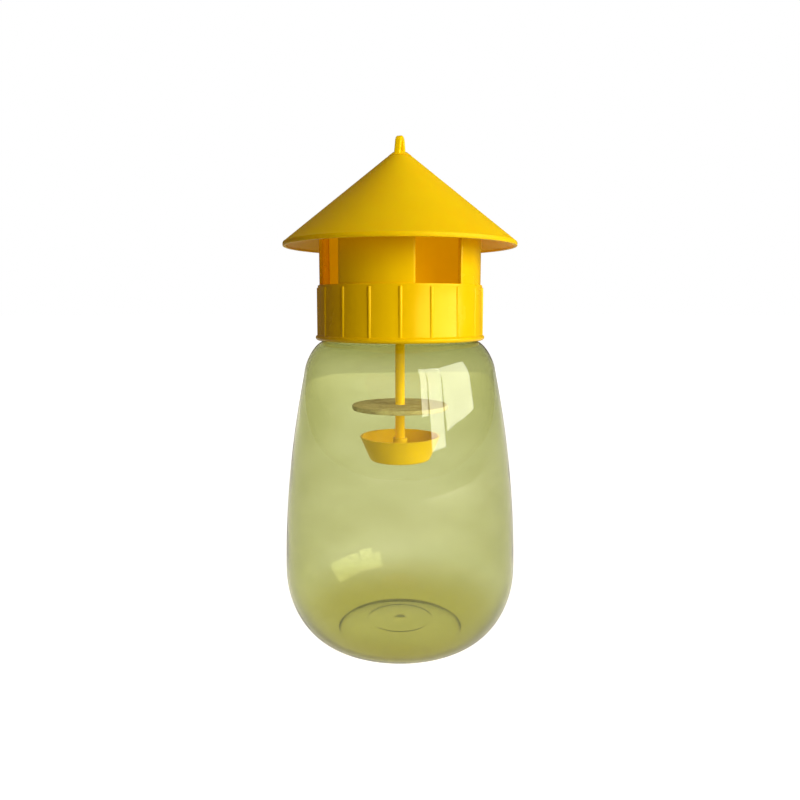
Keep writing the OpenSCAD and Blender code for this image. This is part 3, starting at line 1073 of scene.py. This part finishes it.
@dataclass
class Inside:
    """What hangs inside the jar: entry funnel, stem, disc and cup."""

    stem: float = 2.17 * MM
    stop: float = 5.0 * MM
    disc: float = 21.7 * MM
    cup: float = 18.2 * MM
    cup_floor: float = 13.5 * MM
    cup_wall: float = 0.9 * MM
    cup_boss: float = 3.27 * MM
    cup_base: float = 1.2 * MM
    cup_fillet: float = 1.0 * MM
    boss_drop: float = 0.9 * MM
    socket_floor: float = 1.9 * MM
    flange: float = 34.5 * MM
    flange_thickness: float = 1.5 * MM
    mouth: float = 29.0 * MM
    throat: float = 13.0 * MM
    throat_height: float = 5.0 * MM
    funnel_wall: float = 1.2 * MM
    hole_gap: float = 0.3 * MM
    weave: float = 0.07 * MM
    fray: float = 0.1 * MM
    weave_pitch: float = 1400.0
    fleck_pitch: float = 3100.0
    disc_gap: float = 0.05 * MM
    hub_gap: float = 0.1 * MM
    shoulder: float = 0.3 * MM
    tip_chamfer: float = 0.4 * MM
    funnel_steps: int = 128
    stem_steps: int = 48
    disc_steps: int = 256
    disc_rings: int = 40
    cup_steps: int = 120

    def build_funnel(self) -> bpy.types.Object:
        """Makes the entry funnel.

        Returns:
            The funnel.
        """
        low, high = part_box("entry_funnel")
        flange = high.z - self.flange_thickness
        outside = self.throat + self.funnel_wall
        outline = [
            (self.flange, flange), (self.flange, high.z), (self.mouth, high.z),
            (self.throat, low.z + self.throat_height), (self.throat, low.z), (outside, low.z),
            (outside, low.z + self.throat_height - 0.5 * MM), (self.mouth + 0.7 * MM, flange),
        ]
        shape = Shape("funnel_shell")
        shape.spin(outline, self.funnel_steps, closed=True)
        shape.soften(0.25 * MM, 2)
        return shape.finish(Part.ENTRY, ("entry_funnel",))

    def build_stem(self) -> bpy.types.Object:
        """Makes the stem with its stop and shoulder.

        Returns:
            The stem.
        """
        low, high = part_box("stem")
        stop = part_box("attractant_disc")[0].z - self.disc_gap
        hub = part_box("collar")[0].z - self.hub_gap
        edge = self.tip_chamfer
        r = self.stem
        outline = [
            (0, low.z), (r - edge, low.z), (r, low.z + edge), (r, stop - 2.3 * MM),
            (self.stop - 0.6 * MM, stop - 1.2 * MM), (self.stop, stop - 0.9 * MM), (self.stop, stop),
            (r, stop),
            (r, hub - 3.0 * MM), (r + self.shoulder, hub - 2.4 * MM), (r + self.shoulder, hub), (r, hub),
            (r, high.z - edge), (r - edge, high.z), (0, high.z),
        ]
        shape = Shape("stem_rod")
        shape.spin(outline, self.stem_steps)
        shape.soften(0.12 * MM, 2, 40)
        return shape.finish(Part.STEM, ("stem",))

    def build_disc(self) -> bpy.types.Object:
        """Makes the fibre disc with a slightly ragged edge.

        Returns:
            The disc.
        """
        low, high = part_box("attractant_disc")
        hole = self.stem + self.hole_gap
        n = self.disc_rings
        rings = [hole + (self.disc - 0.35 * MM - hole) * i / n for i in range(n + 1)]
        mid = (low.z + high.z) / 2
        edge = self.disc - self.fray
        outline = [
            *[(r, low.z + 0.08 * MM) for r in rings], (edge, mid - 0.6 * MM), (edge, mid + 0.6 * MM),
            *[(r, high.z - 0.08 * MM) for r in reversed(rings)],
        ]
        shape = Shape("disc_board")
        shape.spin(outline, self.disc_steps, closed=True)
        for v in shape.bm.verts:
            rough = noise.noise(v.co * self.weave_pitch) + 0.5 * noise.noise(v.co * self.fleck_pitch)
            side = 1.0 if v.co.z > mid else -1.0
            radial = Vector((v.co.x, v.co.y, 0)).length
            if radial > hole + 0.2 * MM:
                v.co.z += side * self.weave * max(-1.0, min(1.0, rough))
                v.co -= Vector((v.co.x, v.co.y, 0)) / radial * self.fray * abs(rough)
        return shape.finish(Part.DISC, ("attractant_disc",), 50)

    def build_cup(self) -> bpy.types.Object:
        """Makes the bait cup with its rolled rim and boss.

        Returns:
            The cup.
        """
        low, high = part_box("bait_cup")
        tall = high.z - low.z
        lean = math.atan((self.cup - self.cup_floor) / tall)
        pull = 1 / math.cos(lean) - math.tan(lean)
        wall = self.cup_wall / math.cos(lean)
        base, fillet = self.cup_base, self.cup_fillet
        floor, socket = low.z + base, low.z + self.socket_floor
        boss = high.z - self.boss_drop
        inner = self.cup_floor + base * math.tan(lean) - wall
        turn = math.degrees(lean)
        side = [
            (self.cup_floor + (self.cup - self.cup_floor) * s, low.z + tall * s)
            for s in (0.2, 0.4, 0.6, 0.8, 0.95)
        ]
        back = [(r - wall, z) for r, z in reversed(side[1:])]
        outline = [
            (0, low.z), *arc((self.cup_floor - base * pull, low.z + base), base, -90, -turn, 8), *side,
            (self.cup - 0.05 * MM, high.z - 0.25 * MM), (self.cup - 0.25 * MM, high.z),
            (self.cup - wall + 0.15 * MM, high.z), (self.cup - wall - 0.1 * MM, high.z - 0.25 * MM), *back,
            *arc((inner - fillet * pull, floor + fillet), fillet, -turn, -90, 6),
            (self.cup_boss + 0.3 * MM, floor), (self.cup_boss, floor + 0.3 * MM),
            (self.cup_boss, boss - 0.3 * MM),
            (self.cup_boss - 0.25 * MM, boss), (self.stem + 0.05 * MM, boss), (self.stem + 0.05 * MM, socket),
            (0, socket),
        ]
        shape = Shape("cup_shell")
        shape.spin(outline, self.cup_steps)
        return shape.finish(Part.CUP, ("bait_cup",), 40)


@dataclass(frozen=True)
class Pane:
    """One pane of the soft window light."""

    turn: float
    width: float
    low: float
    high: float


@dataclass(frozen=True)
class Softbox:
    """The place, in degrees and metres, the size and the power of one area light."""

    name: str
    turn: float
    rise: float
    reach: float
    size: tuple[float, float]
    power: float


@dataclass
class Studio:
    """Camera, floor and lights."""

    azimuth: float = 17.8
    distance: float = 314.1 * MM
    height: float = 150.98 * MM
    pitch: float = 7.648
    lens: float = 31.5
    reach: float = 1.2
    floor_glow: float = 0.86
    panes: tuple[Pane, ...] = (
        Pane(27.0, 7.0, 12.0, 33.0), Pane(40.0, 15.5, 5.0, 33.0), Pane(69.0, 38.0, 8.0, 33.0),
    )
    pane_power: float = 17.5
    pane_colour: Colour = (1.0, 0.985, 0.95)
    softboxes: tuple[Softbox, ...] = (
        Softbox("low_fill", 44.0, -1.0, 1.2, (0.9, 0.4), 3.6),
        Softbox("rear_fill", 192.0, 18.0, 1.2, (1.2, 1.2), 5.0),
        Softbox("overhead", 20.0, 78.0, 1.3, (1.2, 1.2), 3.0),
    )
    aim: float = 107.0 * MM
    sensor: float = 36.0
    floor_radius: float = 12.0
    floor_drop: float = 0.02 * MM
    floor_dark: Colour = (0.5, 0.47, 0.42)
    floor_pale: Colour = (0.52, 0.49, 0.44)
    floor_rough: float = 0.9
    floor_mirrored: float = 0.3
    glow_near: float = 0.1
    glow_far: float = 1.2
    sky: Colour = (1.0, 0.7, 0.48)
    sky_power: float = 0.1

    def camera(self) -> None:
        """Places the camera."""
        data = bpy.data.cameras.new("camera")
        data.lens = self.lens
        data.sensor_width = self.sensor
        data.clip_start = 0.01
        data.clip_end = 100.0
        a, p = math.radians(self.azimuth), math.radians(self.pitch)
        camera = bpy.data.objects.new("camera", data)
        camera.location = (self.distance * math.sin(a), -self.distance * math.cos(a), self.height)
        look = Vector((-math.sin(a) * math.cos(p), math.cos(a) * math.cos(p), -math.sin(p)))
        camera.rotation_euler = look.to_track_quat("-Z", "Y").to_euler()
        bpy.context.scene.collection.objects.link(camera)
        bpy.context.scene.camera = camera

    def floor(self) -> None:
        """Lays the plain pale floor."""
        bm = bmesh.new()
        bmesh.ops.create_circle(bm, cap_ends=True, segments=96, radius=self.floor_radius)
        mesh = bpy.data.meshes.new("floor")
        bm.to_mesh(mesh)
        bm.free()
        floor = bpy.data.objects.new("floor", mesh)
        floor.location = (0, 0, -self.floor_drop)
        bpy.context.scene.collection.objects.link(floor)
        material, tree, shader = new_material("pale floor")
        place = add_node(tree, "TexCoord")
        cloud = add_node(tree, "TexNoise", {"Scale": 3.0})
        tree.links.new(place.outputs["Object"], cloud.inputs["Vector"])
        tone = add_node(
            tree, "Mix", {"A": (*self.floor_dark, 1.0), "B": (*self.floor_pale, 1.0)},
            data_type="RGBA",
        )
        tree.links.new(cloud.outputs["Fac"], tone.inputs["Factor"])
        tree.links.new(tone.outputs["Result"], shader.inputs["Base Color"])
        set_values(shader, {"Roughness": self.floor_rough, "Specular IOR Level": 0.1})
        path = add_node(tree, "LightPath")
        mirrored = add_node(tree, "Math", {1: self.floor_mirrored}, operation="MULTIPLY")
        tree.links.new(path.outputs["Is Glossy Ray"], mirrored.inputs[0])
        seen = add_node(tree, "Math", operation="MAXIMUM")
        tree.links.new(mirrored.outputs[0], seen.inputs[0])
        tree.links.new(shown_rays(tree, path), seen.inputs[1])
        glow = add_node(tree, "Math", operation="MULTIPLY")
        away = add_node(tree, "VectorMath", operation="LENGTH")
        tree.links.new(place.outputs["Object"], away.inputs[0])
        even = add_node(
            tree, "MapRange",
            {"From Min": self.glow_near, "From Max": self.glow_far, "To Min": self.floor_glow},
            interpolation_type="SMOOTHSTEP",
        )
        tree.links.new(away.outputs["Value"], even.inputs["Value"])
        tree.links.new(seen.outputs[0], glow.inputs[0])
        tree.links.new(even.outputs["Result"], glow.inputs[1])
        shader.inputs["Emission Color"].default_value = WHITE
        tree.links.new(glow.outputs[0], shader.inputs["Emission Strength"])
        mesh.materials.append(material)

    def light(self, box: Softbox, colour: Colour = (1.0, 1.0, 1.0)) -> bpy.types.Object:
        """Places one area light that faces the object.

        Args:
            box: the light's name, place, size and power. Its turn is to the right of the camera.
            colour: the light's colour.

        Returns:
            The lamp.
        """
        data = bpy.data.lights.new(box.name, "AREA")
        data.shape = "RECTANGLE"
        data.size, data.size_y = box.size
        data.energy = box.power
        data.color = colour
        a, e = math.radians(self.azimuth + box.turn), math.radians(box.rise)
        away = Vector((math.sin(a) * math.cos(e), -math.cos(a) * math.cos(e), math.sin(e)))
        lamp = bpy.data.objects.new(box.name, data)
        lamp.location = Vector((0, 0, self.aim)) + away * box.reach
        lamp.rotation_euler = (-away).to_track_quat("-Z", "Y").to_euler()
        bpy.context.scene.collection.objects.link(lamp)
        return lamp

    def lights(self) -> None:
        """Hangs the window light and the soft fill, and sets the sky."""
        for i, pane in enumerate(self.panes):
            width = 2 * self.reach * math.tan(math.radians(pane.width / 2))
            height = self.reach * (math.tan(math.radians(pane.high)) - math.tan(math.radians(pane.low)))
            rise, power = (pane.low + pane.high) / 2, self.pane_power * width * height
            box = Softbox(f"window_{i}", pane.turn, rise, self.reach, (width, height), power)
            self.light(box, self.pane_colour)
        for box in self.softboxes:
            lamp = self.light(box)
            lamp.visible_glossy = lamp.visible_transmission = False
        world = bpy.data.worlds.new("studio")
        world.use_nodes = True
        bpy.context.scene.world = world
        tree = world.node_tree
        tree.nodes.clear()
        path = add_node(tree, "LightPath")
        seen = add_node(tree, "Background", {"Color": WHITE, "Strength": 1.0})
        lit = add_node(tree, "Background", {"Color": (*self.sky, 1.0), "Strength": self.sky_power})
        mix = add_node(tree, "MixShader")
        out = add_node(tree, "OutputWorld")
        tree.links.new(shown_rays(tree, path), mix.inputs[0])
        tree.links.new(lit.outputs[0], mix.inputs[1])
        tree.links.new(seen.outputs[0], mix.inputs[2])
        tree.links.new(mix.outputs[0], out.inputs[0])

    def colours(self) -> None:
        """Sets plain colour handling."""
        view = bpy.context.scene.view_settings
        view.view_transform = "Standard"
        view.look = "None"
        view.exposure = 0.0


def main() -> None:
    """Builds the studio and then each piece in order."""
    logging.basicConfig(level=logging.INFO, format="%(message)s")
    studio = Studio()
    studio.camera()
    groups = Groups()
    yellow = dict(light=(0.98, 0.63, 0.001), deep=(0.94, 0.56, 0.001))
    # The jar's last colour, near-black, is painted shade on the heel's outline.
    clear = TintedClear(
        "tinted clear plastic", tint=(0.79, 0.81, 0.58), thick_tint=(0.53, 0.55, 0.27),
        foot_tint=(0.46, 0.43, 0.09), heel_painted_shade=(0.12, 0.12, 0.08),
    ).make(groups)
    # Painted glow: the collar, stem and cup yellows give off a little light though none is a lamp; the
    # collar's glow shows only inside the slotted wall's cylinder above its ledge, which takes in the loop
    # too.
    collar = MouldedPlastic("collar yellow", rough=0.2, glow=0.13, painted_glow_inside=True, **yellow).make(groups)
    roof = MouldedPlastic("roof yellow", rough=0.45, flow=0.2, bump=0.05, through=0.25, **yellow).make(groups)
    inner = MouldedPlastic("stem yellow", rough=0.4, flow=0.3, glow=0.18, **yellow).make(groups)
    cup = MouldedPlastic("cup yellow", rough=0.36, flow=0.5, glow=0.02, **yellow).make(groups)
    fibre = PressedFibre("pressed fibre", (0.84, 0.72, 0.42), (0.42, 0.33, 0.16)).make(groups)
    jar = Jar().build()
    jar.visible_shadow = False
    dress(jar, clear)
    dress(Collar().build(), collar)
    inside = Inside()
    dress(inside.build_funnel(), inner)
    dress(Roof().build(), roof)
    dress(Loop().build(), collar)
    dress(inside.build_stem(), inner)
    dress(inside.build_disc(), fibre)
    dress(inside.build_cup(), cup)
    studio.floor()
    studio.lights()
    studio.colours()


if __name__ == "__main__":
    main()
